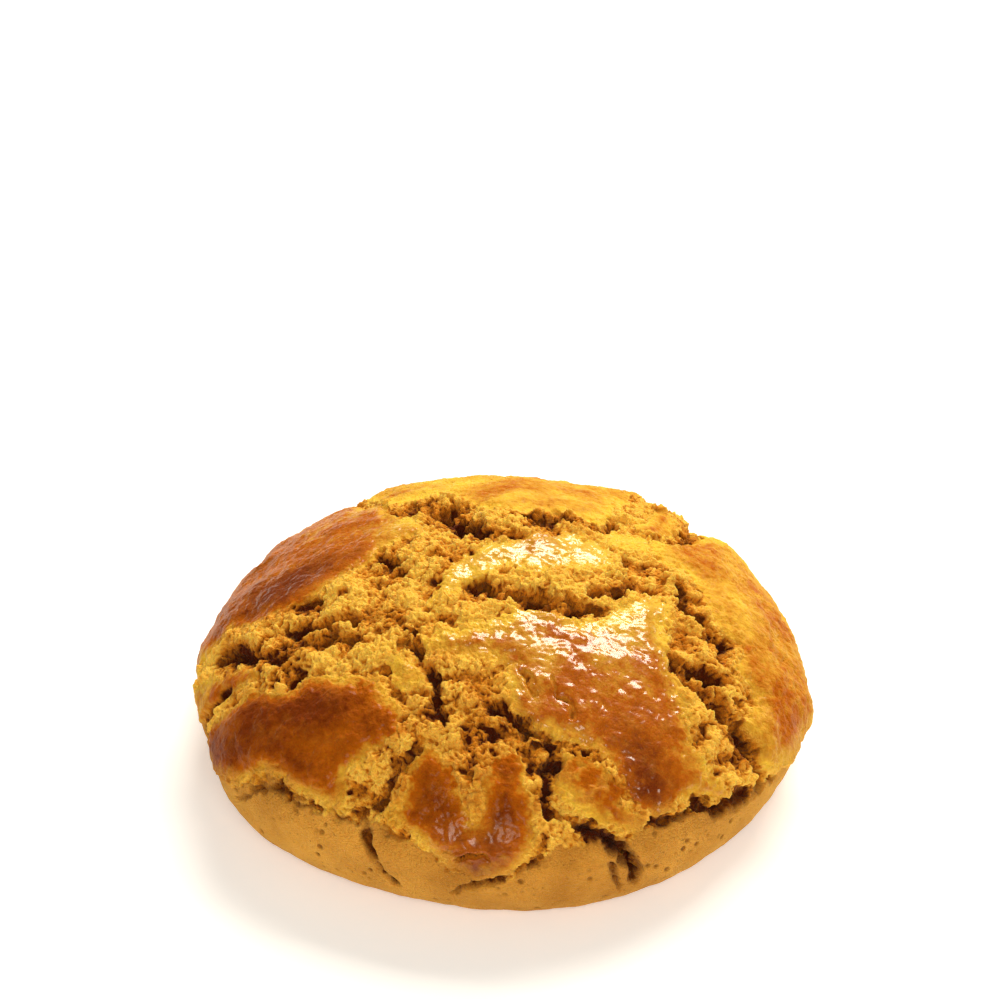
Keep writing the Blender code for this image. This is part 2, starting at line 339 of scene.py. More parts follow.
PLATES = (
    Plate("left shoulder", 0.4, 0.5, 0.4, 0.9, 0.1, (
        (-66, -4), (-51, -1.5), (-44, -4.5), (-38, -5), (-32, -4.5), (-28, -2.5), (-24, -0.5),
        (-21, 3), (-17, 5), (-13, 8), (-14, 12), (-17, 16), (-23, 26), (-30, 38), (-40, 44),
        (-57, 34), (-66, 13),
    )),
    Plate("back crown", 0.6, 0.24, 0.15, 1.0, 0.15, (
        (-20, 23), (-16, 21.8), (-9, 21.3), (-6.5, 18.5), (-4, 15), (0, 11.5), (5, 11.5),
        (10, 12.3), (15, 11.8), (18.5, 12), (19, 16), (20, 21), (25, 33), (32, 46), (21, 55),
        (9, 52), (5, 44.5), (-1, 46), (-4, 54), (-18, 56), (-27, 48), (-24, 34),
    )),
    Plate("back patch", 1.0, 0.4, 0.5, 1.0, 0.2, ((3, 46), (8, 56), (0, 61), (-5, 58), (0, 50))),
    Plate("crown end", 0.2, 0.62, 0.1, 0.8, 0.2, (
        (24.5, 14), (28, 13.5), (31, 18), (32.5, 24), (31.5, 30), (28.5, 28), (26.5, 21),
    )),
    Plate("right shoulder", 0.8, 0.22, 0.15, 1.1, 0.45, (
        (28, 13), (26.5, 8), (28, 3.5), (33, 4), (35, 0), (36.5, -6), (38, -10), (41, -13),
        (39.5, -18), (44, -21.5), (43, -27), (46, -31), (49, -33), (60, -29), (66, -13),
        (66, 11), (56, 30), (45, 38), (36, 22),
    )),
    Plate("crown right", 0.2, 0.05, 0.3, 1.3, 0.5, ((19, 5), (24, 6), (26, 11), (22, 11), (18, 8))),
    Plate("centre", 0.5, 0.5, 1.0, 1.1, 0.2, (
        (-13, -20.5), (-9, -19.5), (-5, -19), (1, -16.5), (2, -14.3), (6, -14), (9, -14.5),
        (12, -15.8), (15, -15.3), (20, -12), (24, -8), (27, -7.5), (29, -10), (28, -15),
        (28.3, -19), (30, -24), (31.5, -29), (33, -35), (35.5, -38), (41, -40.3), (42.5, -41.2),
        (38, -43), (32, -44.5), (29.5, -47.5), (27, -49), (24, -48), (21, -45), (18.5, -41.5),
        (15, -39.8), (9, -38.5), (4.5, -37.5), (1.5, -34.5), (0.8, -31), (0.5, -27.5),
        (-2, -26), (-8, -25), (-11, -23),
    )),
    Plate("tongue", 0.3, 0.45, 0.15, 1.5, 0.45, (
        (9.5, -41.5), (13, -40.8), (17, -42), (20, -45.5), (23.5, -49), (27, -50.5), (25, -53),
        (19, -52.5), (14, -50.5), (11, -48), (9.5, -45),
    )),
    Plate("crown patch", 0.3, 0.2, 1.0, 1.5, 0.4, (
        (-5, -1), (0, 0.5), (3, 3), (7, 5), (13, 5), (18, 3.5), (19, 0), (17, -3), (13, -5),
        (8, -6.5), (4, -6), (0, -7), (-5, -10), (-12, -13.5), (-10, -8.5),
    )),
    Plate("left cheek", 0.9, 0.78, 0.25, 0.9, 0.06, (
        (-56, -21), (-49, -21), (-42, -21.5), (-36, -24), (-28, -24), (-22, -26), (-18, -30),
        (-16, -34), (-17, -38), (-22, -41), (-26, -43), (-27, -47), (-29, -48), (-34, -44),
        (-38, -40), (-42, -37), (-50, -36), (-57, -35), (-62, -27),
    )),
    Plate("cheek patch", 0.4, 0.3, 0.4, 1.3, 0.4, (
        (-18, -24.5), (-13, -24), (-12, -28), (-13.5, -30), (-17, -28.5),
    )),
    Plate("lip patch", 0.3, 0.45, 0.2, 1.3, 0.4, (
        (-66, -6), (-58, -7.5), (-52, -10), (-48, -13), (-44, -14.5), (-42.5, -18),
        (-47, -19.5), (-55, -18.5), (-66, -18),
    )),
    Plate("chin", 0.6, 0.72, 0.2, 0.7, 0.1, (
        (-16, -47), (-15.5, -43.5), (-13, -40.3), (-9.8, -41), (-7.4, -44), (-6.2, -47.5),
        (-4.4, -52), (-3.2, -50.5), (-2, -46), (0, -42.6), (2.5, -42),
        (4.5, -44), (5, -48), (6, -52), (6, -56), (4, -59.5), (1, -62.5), (-4, -64.5),
        (-9, -62.5), (-12, -58.5), (-15, -55), (-18, -51.5), (-17.5, -49),
    )),
)  # fmt: skip

FISSURES = (
    Fissure("chin top", 3.6, 4.6, (
        (-2, -34), (1.3, -35.5), (4.5, -37.3), (7.5, -39.3), (9, -42), (9, -45),
    )),
    Fissure("chin", 2.4, 2.6, (
        (8, -43), (7.5, -47), (8, -50), (11, -51.3), (15, -52.5), (19, -54), (23, -56), (27, -60),
    )),
    Fissure("right", 4.6, 4.8, ((30, -23), (35, -25.5), (40, -27.5), (45, -31), (50, -36))),
    Fissure("right branch", 3.6, 3.0, ((27, -18.5), (30, -21), (34, -21.5), (39, -21))),
    Fissure("right upper", 4.0, 2.8, ((29, 1), (33, -4), (32, -8), (37, -12), (38, -18))),
    Fissure("brow", 4.6, 3.4, ((-5, -10), (0, -11.3), (6, -12.8), (11, -13.8), (16, -13))),
    Fissure("brow right", 3.0, 2.2, ((14, -8.5), (19, -9.5), (22, -6))),
    Fissure("left", 4.4, 2.8, ((-51, -5), (-46, -11), (-38, -16), (-31, -16), (-21, -19))),
    Fissure("left upper", 3.6, 2.2, ((-36, -10), (-29, -13), (-23, -12))),
    Fissure("centre left", 2.6, 2.6, ((-14, -18), (-13, -23), (-10.5, -28), (-10, -33), (-9, -36))),
    Fissure("cheek", 2.2, 2.0, ((-14, -37), (-14, -41), (-18, -44), (-19, -47), (-22, -50))),
    Fissure("crown left", 6.6, 3.6, ((-20, 20), (-14, 17), (-9, 13), (-6, 8), (-3, 4), (3, 3))),
    Fissure("crown middle", 4.6, 2.6, ((-13, 10), (-10, 14), (-6, 17))),
    Fissure("crown right", 4.2, 3.2, ((6, 8), (9, 10.5), (14, 10), (19, 10.5), (20, 15))),
    Fissure("crown end", 4.0, 2.4, ((26, 10.5), (31, 13.5), (34.5, 20), (36, 28), (41, 43))),
    Fissure("crown left hollow", 3.6, 2.4, ((-22, 2), (-18, 0), (-20.5, -3), (-15, -3))),
    Fissure("crown right hollow", 4.0, 1.8, ((21, 2), (25, 0.5))),
    Fissure("centre crack", 1.2, 1.2, ((3, -27), (5, -30), (5.5, -32.5))),
    Fissure("centre crack right", 1.2, 1.2, ((8.5, -29), (11, -33), (12, -36))),
    Fissure("chin slit", 1.0, 1.2, ((-8, -58.6), (-5, -58), (-1, -58.4))),
    Fissure("back left", 4.0, 2.0, ((-22, 25), (-27, 33), (-33, 46), (-36, 56))),
    Fissure("back", 4.5, 4.0, ((3.5, 45), (1.5, 49), (-3, 53), (-6, 58))),
    Fissure("left notch", 5.0, 2.5, ((-64, -16), (-58, -18), (-48, -17))),
    Fissure("right seam", 2.0, 1.8, ((25, -50.5), (28, -49), (31, -48), (34, -46.5))),
    Fissure("right seam end", 2.6, 2.2, ((33, -44), (37, -44.3), (40, -44), (44, -41), (49, -37))),
    Fissure("left seam", 1.6, 1.2, ((-51, -37), (-48, -38), (-43, -39), (-39, -40.5), (-37, -43))),
    Fissure("left crack", 1.4, 1.4, (
        (-37, -43), (-35, -44.5), (-32, -46.8), (-29, -48), (-26, -49.5),
    )),
    Fissure("skirt left", 3.0, 1.5, ((-24.5, -48), (-24, -51), (-24.2, -54), (-24, -57.5))),
    Fissure("skirt left foot", 1.8, 1.2, ((-23.5, -58), (-22.5, -61), (-21, -64))),
    Fissure("skirt right", 3.4, 1.7, ((19, -54), (22, -55.3), (25, -57.5), (27.5, -61))),
    Fissure("skirt right foot", 1.7, 1.3, ((20.5, -57), (21.5, -60), (25, -63))),
    Fissure("chin right", 1.9, 1.4, ((7.5, -54), (7, -57), (5.5, -59.5))),
    Fissure("skirt middle", 1.8, 1.4, ((2, -61.5), (-2, -63), (-6, -64.3), (-9.5, -65.5))),
    Fissure("skirt back", 3.0, 2.6, ((14, 52), (18, 63))),
    Fissure("skirt back left", 2.6, 2.4, ((-44, 38), (-50, 45))),
)  # fmt: skip

STAINS_AND_LIGHT = (
    StainAndLight("left shoulder middle", (-36, 2), (11, 8), 0.3, 0.2),
    StainAndLight("left shoulder top", (-18, 10), (7, 6), -0.25, 0.1),
    StainAndLight("left shoulder foot", (-48, 4), (9, 7), 0.15, 0.0),
    StainAndLight("right shoulder edge", (56, -8), (5, 14), 0.25, 0.0),
    StainAndLight("cheek low", (-30, -38), (14, 8), 0.12, 0.0),
    StainAndLight("cheek top", (-25, -28), (7, 4), 0.12, 0.0),
    StainAndLight("centre top", (20, -12), (8, 6), -0.3, 0.2),
    StainAndLight("centre arm", (-5, -21.5), (5, 3), -0.15, -0.2),
    StainAndLight("centre low", (25, -44), (8, 7), 0.55, 0.1),
    StainAndLight("centre foot", (33, -41), (7, 4), -0.05, -0.4),
    # Painted highlight: the chin base is paler where a reflection lies; its added gloss is real
    # shine.
    StainAndLight("chin base", (-6, -56), (9, 4), -0.15, 0.6),
    StainAndLight("chin drip", (-4, -61), (6, 2.5), 0.4, 0.2),
    StainAndLight("right shoulder low", (52, -24), (7, 7), 0.35, 0.2),
    StainAndLight("right shoulder patch", (47, 0), (5, 9), 0.15, 0.1),
    StainAndLight("crumb top", (22, -3), (8, 7), -0.5, 0.0),
    StainAndLight("crumb middle", (-5, -36), (8, 8), 0.08, 0.0),
    StainAndLight("crumb left", (-24, -12), (14, 8), -0.3, 0.0),
    # Painted light and shade: the skirt paler on the left and darker on the right, as if lit more
    # from the left.
    StainAndLight("skirt left", (-34, -52), (14, 7), -0.3, 0.0),
    StainAndLight("skirt right", (16, -65), (18, 6), 0.35, 0.0),
)

SWELLS = (
    Swell("crown end", (26, 34), 6, 1.3),
    Swell("crown end foot", (33.5, 19), 4.5, -1.4),
    Swell("shoulder top", (41, 26), 5, 0.8),
    Swell("left side", (-56, 8), 14, 0.5),
    Swell("left shoulder", (-30, 34), 14, -0.6),
    Swell("back left", (-14, 40), 14, 0.1),
    Swell("back", (2, 42), 14, -0.7),
    Swell("back right", (18, 40), 14, -0.9),
    Swell("right shoulder", (33, 32), 14, -0.6),
    Swell("right side", (57, 6), 14, -0.3),
    Swell("right cheek", (60, -14), 12, 0.6),
    Swell("left cheek", (-60, -22), 12, -1.2),
)

# Where the crust ends and the pale skirt starts: (azimuth in degrees, distance from the crown)
SKIRT_EDGE = (
    (-180, 64), (-150, 63), (-143, 60), (-137, 56), (-125, 57), (-113, 55.5), (-103, 58.8),
    (-94, 62.8), (-87, 61), (-80, 56.5), (-67, 57), (-57, 56.6), (-45, 60), (-30, 62), (0, 64),
    (30, 61), (55, 63), (80, 59), (105, 62), (130, 59), (155, 63), (180, 64),
)  # fmt: skip

# What the underside carries, and none of the other layers
UNDERSIDE = {Layer.SKIRT: 1.0, Layer.SHADE_AND_BROWNING: 0.12, Layer.BAKE_AND_LIGHT: 0.3}


@dataclass
class BunForm:
    """The smooth bun and its relief, in millimetres.

    outline_waves say how far the rings stray from a circle: waves round the bun, share of the
    radius, and phase. lump_sizes are the width and the rise of the crumb's lumps.
    """

    radius: float = 51.7
    height: float = 38.6
    widest_at: float = 12.0
    base_radius: float = 43.3
    shoulder_power: float = 1.69  # 2 is an ellipse, less is more pointed
    skirt_power: float = 2.13
    outline_waves: tuple[tuple[int, float, float], ...] = (
        (1, 0.0084, 0.71), (2, 0.0106, -2.98), (3, 0.0106, 2.18), (4, 0.0061, -2.69),
        (5, 0.0099, 0.69),
    )  # fmt: skip
    rim_fade: float = 5.0  # no relief at the rim, all of it this far up the skirt
    crumb_drop: float = 0.1
    lump_sizes: tuple[tuple[float, float], ...] = ((7.4, 1.4), (4.2, 1.4), (2.3, 0.6))
    lump_shove: float = 0.28  # share of a lump's width that it is pushed out of true
    crag_size: float = 7.0
    crag_height: float = 1.1
    plate_crag: float = 0.35  # share of the crags that a plate follows
    plate_lumps: float = 0.25  # and of the lumps
    worn_lumps: float = 0.6  # and how much more where it is worn
    plate_edge: float = 0.7
    plate_margin: float = 4.0  # no plate has a say farther out than this
    edge_wander: float = 0.7
    wander_size: float = 7.0
    fray: Waves = ((0.9, 2.7, 11), (0.7, 1.3, 12), (0.5, 0.7, 13))
    skirt_fray: float = 1.2
    seam_width: float = 1.1
    seam_depth: float = 0.45
    plain_bake: float = 0.3
    uneven_bake: Waves = ((0.25, 15.0, 18), (0.12, 6.0, 20))
    bare_spots: Waves = ((1.0, 3.3, 15), (0.5, 1.2, 16))
    fissure_half: float = 0.62  # half width of a trough, as a share of its fissure's width
    fissure_sink: float = 0.85
    fissure_taper: float = 0.15  # share of a route over which either end closes
    darkest_shade_depth: float = 3.0  # fissures as deep as this get the darkest painted shade
    coarse_crumb: Waves = ((0.26, 2.3, 21), (0.24, 1.25, 22))
    fine_crumb: Waves = ((0.25, 0.62, 26),)
    grain_size: float = 0.95
    grain_rise: float = 0.22
    speck_size: float = 0.55
    speck_rise: float = 0.34
    crumb_ceiling: float = 0.55  # crumb is cut off here, so that no grain stands out alone
    hole_depth: float = 0.9
    dents: Waves = ((0.17, 4.5, 31), (0.07, 1.9, 32))
    wrinkle: float = 0.06
    dry_wrinkle: float = 0.05  # more of them where the glaze is thin
    dry_grit: float = 0.1
    pore_size: float = 1.9
    pore_depth: float = 0.3
    outline: tuple[Array, Array, Array] = field(init=False)

    def __post_init__(self) -> None:
        """Works out the half outline once."""
        self.outline = self.profile()

    @property
    def reach(self) -> float:
        """Distance from the crown to the rim, along the surface."""
        return float(self.outline[2][-1])

    def profile(self, steps: int = 400) -> tuple[Array, Array, Array]:
        """The half outline from the crown to the rim: two quarters of a superellipse that meet
        at the widest ring, |x|^p + |y|^p = 1 with a power of their own each.

        Args:
            steps: Points on each quarter.

        Returns:
            Radius, height and the distance along the outline.
        """
        turn = np.linspace(0, math.pi / 2, steps)
        rise, swell = self.height - self.widest_at, self.radius - self.base_radius
        upper_radius = self.radius * np.sin(turn) ** (2 / self.shoulder_power)
        upper_height = self.widest_at + rise * np.cos(turn) ** (2 / self.shoulder_power)
        lower_radius = self.base_radius + swell * np.cos(turn) ** (2 / self.skirt_power)
        lower_height = self.widest_at * (1 - np.sin(turn) ** (2 / self.skirt_power))
        radius = np.append(upper_radius, lower_radius[1:])
        height = np.append(upper_height, lower_height[1:])
        step = np.hypot(np.diff(radius), np.diff(height))
        return radius, height, np.append(0, np.cumsum(step))

    def smooth(self, places: Array) -> tuple[Array, Array]:
        """The smooth bun: the half outline turned about the upright axis.

        Args:
            places: Places on the crust map.

        Returns:
            The point above each place, and the outward direction there.
        """
        radius, height, distance = self.outline
        from_crown = np.hypot(places[:, 0], places[:, 1])
        azimuth = np.arctan2(places[:, 1], places[:, 0])
        slope_radius = np.interp(from_crown, distance, np.gradient(radius, distance))
        slope_height = np.interp(from_crown, distance, np.gradient(height, distance))
        length = np.hypot(slope_radius, slope_height)
        ring = np.interp(from_crown, distance, radius)
        level = np.interp(from_crown, distance, height)
        east, north = np.cos(azimuth), np.sin(azimuth)
        out = -slope_height / length
        points = np.stack([ring * east, ring * north, level], 1)
        return points, np.stack([out * east, out * north, slope_radius / length], 1)

    def body(self, places: Array) -> tuple[Array, dict[Layer, Array]]:
        """The bun without its fine crumb: the smooth bun, moved out along its outward direction
        by the relief, with its rings stretched by the outline waves.

        Args:
            places: Places on the crust map.

        Returns:
            The points, and what each carries.
        """
        smooth, outward = self.smooth(places)
        raised, layers = self.relief(places, smooth)
        from_crown = np.hypot(places[:, 0], places[:, 1])
        layers[Layer.RIM] = smoothstep(0, self.rim_fade, self.reach - from_crown)
        points = smooth + outward * (raised * layers[Layer.RIM])[:, None]
        azimuth = np.arctan2(places[:, 1], places[:, 0])
        stretch = np.ones(len(places))
        for waves, share, phase in self.outline_waves:
            stretch *= 1 + share * np.cos(waves * azimuth + phase)
        points[:, :2] *= stretch[:, None]
        return points, layers

    def relief(self, places: Array, points: Array) -> tuple[Array, dict[Layer, Array]]:
        """How the body leaves the smooth bun. Torn crumb is lumps plus crags. A plate takes their
        place inside its outline, which noise of three sizes frays: its own lift, with a share of
        the crags and lumps. Fissures are sunk into both, and swells are added as soft spots. On
        the skirt the height is nought, with a shallow seam in places along its edge.

        Args:
            places: Places on the crust map.
            points: The points of the smooth bun above them.

        Returns:
            The height over the smooth bun, and what each point carries.
        """
        ragged = places + self.edge_wander * shove_at(points, self.wander_size, 1)[:, :2]
        fray = waves_at(points, self.fray)
        azimuth = np.degrees(np.arctan2(places[:, 1], places[:, 0]))
        over_edge = np.hypot(*ragged.T) - np.interp(azimuth, *zip(*SKIRT_EDGE))
        over_edge += self.skirt_fray * fray
        skirt = smoothstep(-0.5, 0.5, over_edge)
        paling = smoothstep(-3.5, 0.6, over_edge)  # glaze turns pale before it meets the skirt
        seam = np.exp(-(((over_edge + 0.4) / self.seam_width) ** 2))
        seam *= smoothstep(-0.3, 0.5, noise_at(points, 5.0, 19))

        lumps = self.lumps(points)
        crag = noise_at(points, self.crag_size, 5)
        height = (lumps + self.crag_height * crag - self.crumb_drop) * (1 - skirt)
        torn = 1 - skirt
        glaze, gloss, toast = np.zeros((3, len(places)))
        bake = np.full(len(places), self.plain_bake)
        patchy = smoothstep(0.0, 0.8, waves_at(points, self.bare_spots))
        for plate in PLATES:
            outline = smooth_route(plate.outline, closed=True)
            near = close_to(ragged, outline, self.plate_margin)
            inside = np.full(len(places), -FAR)
            inside[near] = depth_inside(ragged[near], outline) + plate.fray * fray[near]
            cover = smoothstep(-self.plate_edge / 2, self.plate_edge / 2, inside) * (1 - skirt)
            worn = plate.wear * patchy
            level = plate.lift * smoothstep(-1, 5, inside) + self.plate_crag * crag
            level += (self.plate_lumps + self.worn_lumps * worn) * lumps
            bare = np.maximum(0.6 * (1 - smoothstep(0.0, 1.8, inside)), worn)
            # Plate rims are paler: partly less bake, partly painted light where the raised rim
            # catches the lamp.
            lit_paler_rim = 0.25 + 0.75 * smoothstep(-0.3, 4.0, inside)
            height = mixed_by(cover, height, level)
            torn = mixed_by(cover, torn, bare)
            bake = mixed_by(cover, bake, plate.bake * lit_paler_rim)
            gloss = mixed_by(cover, gloss, plate.gloss * smoothstep(0, 2, inside))
            shown = smoothstep(0.0, 0.7, inside) * (1 - skirt) * (1 - 0.6 * worn)
            glaze = np.maximum(glaze, shown)
            toast = np.maximum(toast, smoothstep(-3.2, 0.4, inside) * plate.bake)
        # Stains of the bake, and a few spots of painted light and shade, added to the bake and
        # gloss.
        for stain_and_light in STAINS_AND_LIGHT:
            share = spot_at(ragged, stain_and_light.middle, stain_and_light.reach)
            bake += stain_and_light.bake * share
            gloss = np.clip(gloss + stain_and_light.gloss * share * glaze, 0, 1)
        bake += waves_at(points, self.uneven_bake)
        seam *= 1 - glaze
        sunk, cuts = self.troughs(ragged, points)
        height -= self.seam_depth * seam + sunk
        torn = np.maximum(torn, smoothstep(0.1, 0.5, cuts))
        for swell in SWELLS:
            height += swell.height * spot_at(places, swell.middle, swell.reach)

        scorched = 0.35 * smoothstep(-0.1, 0.6, noise_at(points, 8.0, 17))
        tips = smoothstep(-0.2, 0.8, lumps) * torn * np.maximum(1.2 * toast, scorched)
        glazed = np.clip(np.maximum(glaze * (1 - paling), tips), 0, 1)
        # The hollow layer starts as painted shade: darker in fissures, in the creases between crumb
        # lumps and along the skirt's seam.
        layers = {
            Layer.GLAZE: glazed * (1 - smoothstep(0.05, 0.4, cuts)),
            Layer.BAKE_AND_LIGHT: np.clip(bake, 0, 1),
            Layer.GLOSS: gloss,
            Layer.SHADE_AND_BROWNING: cuts**0.7 + 0.7 * smoothstep(-0.4, 1.3, -lumps) * torn + 0.45 * seam,
            Layer.SKIRT: np.maximum(skirt, paling * glaze) * (1 - smoothstep(0.25, 0.7, cuts)),
            Layer.TORN: torn,
        }
        return height, layers

    def troughs(self, ragged: Array, points: Array) -> tuple[Array, Array]:
        """The fissures. Each is a trough: one minus a smooth ramp from its route to its half
        width. It narrows and rises towards both ends, and noise breaks it along the way.

        Args:
            ragged: Places on the crust map, shoved about.
            points: The points of the smooth bun above them.

        Returns:
            How far each place is sunk, and how deep in a fissure it lies, from 0 to 1, scaled by
            how dark its painted shade is.
        """
        sunk, cuts = np.zeros((2, len(ragged)))
        split = ragged + (0.7 * shove_at(points, 3.4, 71) + 0.5 * shove_at(points, 1.5, 74))[:, :2]
        breaks = np.clip(0.85 + 0.8 * noise_at(points, 2.8, 77), 0.45, 1.3)
        end = self.fissure_taper
        for fissure in FISSURES:
            route = smooth_route(fissure.route)
            near = close_to(split, route, fissure.width)
            distance, along = distance_to_route(split[near], route)
            taper = smoothstep(0, end, along) * smoothstep(0, end, 1 - along)
            half = self.fissure_half * fissure.width * (0.6 + 0.4 * taper)
            half *= 0.5 + 0.5 * breaks[near]
            cut = (1 - smoothstep(0, half, distance)) * (0.4 + 0.6 * taper) * breaks[near]
            sunk[near] += self.fissure_sink * fissure.depth * cut
            # Painted shade: deeper fissures are painted darker.
            dark = min(1.0, fissure.depth / self.darkest_shade_depth)
            cuts[near] = np.maximum(cuts[near], cut * dark)
        return sunk, np.clip(cuts, 0, 1)

    def lumps(self, points: Array) -> Array:
        """Torn crumb before its grain: big lumps built of smaller ones. Each size is a field of
        rounded lumps, shoved about by noise four fifths as wide, times the size's own rise.

        Args:
            points: Points in millimetres.

        Returns:
            The height, about zero.
        """
        height = np.zeros(len(points))
        for turn, (size, rise) in enumerate(self.lump_sizes):
            shove = shove_at(points, 0.8 * size, 61 + 3 * turn)
            shoved = points + self.lump_shove * size * shove
            height += rise * (clumps_at(shoved, size, 3 + turn)[0] - LUMP_MEAN)
        return height

    def texture(
        self, points: Array, outward: Array, layers: dict[Layer, Array]
    ) -> tuple[Array, dict[Layer, Array]]:
        """Adds the fine relief to the body, out along its own outward direction. Crumb is noise of
        three sizes plus rounded grains and specks, cut off at a ceiling, less holes where a slower
        noise peaks. Crust has dents and wrinkles, which are rougher where it is dry, and the skirt
        has pores at the middles of a few lumps.

        Args:
            points: The body's points.
            outward: The outward direction at each.
            layers: What each carries.

        Returns:
            The finished points, and what each carries into the finish.
        """
        layers = dict(layers)
        torn, rim = layers.pop(Layer.TORN), layers.pop(Layer.RIM)
        warped = points + 0.5 * shove_at(points, 2.1, 41) + 0.16 * shove_at(points, 0.7, 44)
        grain, grain_tone = clumps_at(warped, self.grain_size, 23)
        speck, speck_tone = clumps_at(warped, self.speck_size, 25)
        grain, speck = grain - LUMP_MEAN, speck - LUMP_MEAN
        grit = self.grain_rise * grain + self.speck_rise * speck
        grit += waves_at(points, self.fine_crumb)
        hole = smoothstep(0.15, 0.9, noise_at(warped, 2.9, 24) + 0.4 * noise_at(points, 1.4, 27))
        rough = np.minimum(waves_at(warped, self.coarse_crumb) + grit, self.crumb_ceiling)
        rough -= self.hole_depth * hole
        dry = 1 - smoothstep(0.1, 0.7, layers[Layer.GLOSS])
        wrinkles = (self.wrinkle + self.dry_wrinkle * dry) * noise_at(points, 0.8, 35)
        wrinkles += self.dry_grit * dry * speck
        blisters, _ = clumps_at(points, self.pore_size, 33)
        pores = smoothstep(0.86, 0.97, blisters) * smoothstep(0.1, 0.5, noise_at(points, 6.0, 34))
        pores *= layers[Layer.SKIRT]
        smooth = waves_at(points, self.dents) + wrinkles * layers[Layer.GLAZE]
        smooth -= self.pore_depth * pores
        height = mixed_by(torn, smooth, rough)
        shove = 0.25 * shove_at(points, 1.4, 51) + 0.14 * shove_at(points, 0.7, 54)
        step = outward * height[:, None] + shove * torn[:, None]
        finished = points + step * rim[:, None]
        finished[:, 2] = np.maximum(finished[:, 2], 0.0)

        # More painted shade in the hollow layer: darker in pits, between grains and at pores; a
        # slow noise adds broad random browning.
        sunk = 0.6 * smoothstep(-0.1, 0.9, -rough) + 0.36 * smoothstep(-0.05, 0.3, -grit)
        sunk += 0.2 * smoothstep(0.0, 0.7, noise_at(points, 9.0, 28))
        layers[Layer.SHADE_AND_BROWNING] = np.clip(layers[Layer.SHADE_AND_BROWNING] + torn * sunk + 0.6 * pores, 0, 1)
        layers[Layer.TONE] = (grain_tone + speck_tone) / 2
        return finished, layers


# ---------------------------------------------------------------- the bun's meshes


@dataclass
class Mesher:
    """Lays grids on the crust map.

    cap_cells is the number of quads along one side of the crown's square sheet; its edge has
    four times as many, which every ring below the crown then has.
    """

    cap_cells: int = 400
    cap_reach: float = 30.0
    flank_reach: float = 64.0
    flank_rings: int = 190
    skirt_rings: int = 56
    base_shares: tuple[float, ...] = (0.975, 0.93, 0.86, 0.76, 0.62, 0.45, 0.28, 0.12)
    few_points: int = 60  # a ring of the underside with no more than this isn't halved

    @property
    def around(self) -> int:
        """Quads round one ring."""
        return 4 * self.cap_cells

    def cap(self) -> Array:
        """The crown's sheet: a square grid whose square rings are each bent to a circle, with
        the points of a ring at equal angles.

        Returns:
            Places on the crust map, row after row from left to right, each row from the front
            to the back.
        """
        line = np.linspace(-1, 1, self.cap_cells + 1)
        x, y = (axis.ravel() for axis in np.meshgrid(line, line, indexing="ij"))
        across = np.abs(x) > np.abs(y)
        ring = np.where(across, x, y)
        share = np.where(across, y, x) / np.where(np.abs(ring) < TINY, 1.0, ring)
        azimuth = np.where(across, share * math.pi / 4, math.pi / 2 - share * math.pi / 4)
        return np.stack([ring * np.cos(azimuth), ring * np.sin(azimuth)], 1) * self.cap_reach

    def cap_edge(self, numbers: Array) -> Array:
        """The cap's edge points, starting at azimuth -45 degrees and turning left."""
        return np.concatenate(
            [numbers[-1, :-1], numbers[:0:-1, -1], numbers[0, :0:-1], numbers[:-1, 0]]
        )

    def rings(self, reach: float) -> Array:
        """The circles below the crown, evenly spaced down the flank and down the skirt.

        Args:
            reach: Distance from the crown to the rim.

        Returns:
            Places on the crust map, ring after ring.
        """
        flank = np.linspace(self.cap_reach, self.flank_reach, self.flank_rings + 1)[1:]
        skirt = np.linspace(self.flank_reach, reach, self.skirt_rings + 1)[1:]
        azimuth = -math.pi / 4 + np.arange(self.around) * 2 * math.pi / self.around
        turn = np.stack([np.cos(azimuth), np.sin(azimuth)], 1)
        return (np.append(flank, skirt)[:, None, None] * turn).reshape(-1, 2)


def stitched(ring: Array, following: Array) -> Array:
    """Quads between closed rings with as many points: each joins a step of one ring to the same
    step of the next.

    Args:
        ring: Point numbers of a ring, or one row for each ring.
        following: Those of the ring that comes after it on the way to the underside's middle.

    Returns:
        The quads' corners, on a last axis of four.
    """
    turned = np.roll(following, -1, -1), np.roll(ring, -1, -1)
    return np.stack([ring, following, *turned], -1)


def halved(ring: Array, following: Array) -> Array:
    """Triangles between a ring and the next one, which has half as many points: three to each
    step of the smaller ring.

    Args:
        ring: Point numbers of the larger ring.
        following: Those of the smaller.

    Returns:
        The triangles' corners.
    """
    even, odd, after = ring[::2], ring[1::2], np.roll(ring[::2], -1)
    turned = np.roll(following, -1)
    corners = (even, following, odd), (odd, following, turned), (odd, turned, after)
    return np.concatenate([np.stack(three, 1) for three in corners])


def sheet_map(rows: int, columns: int, bands: int = 1) -> Array:
    """The flat map of a sheet of quads, which fills the unit square: rows go across it and
    columns up it. A long sheet is cut into bands of columns that are stacked side by side.

    Args:
        rows: Rows of quads.
        columns: Quads in a row.
        bands: Number of bands.

    Returns:
        The flat place of each quad's four corners.
    """
    row, column = np.meshgrid(np.arange(rows), np.arange(columns), indexing="ij")
    length = columns // bands
    band = column // length
    corners = []
    for down, right in ((0, 0), (1, 0), (1, 1), (0, 1)):
        across = (band + BAND_GAP / 2 + (1 - BAND_GAP) * (row + down) / rows) / bands
        corners.append(np.stack([across, (column - band * length + right) / length], 2))
    return np.stack(corners, 2)


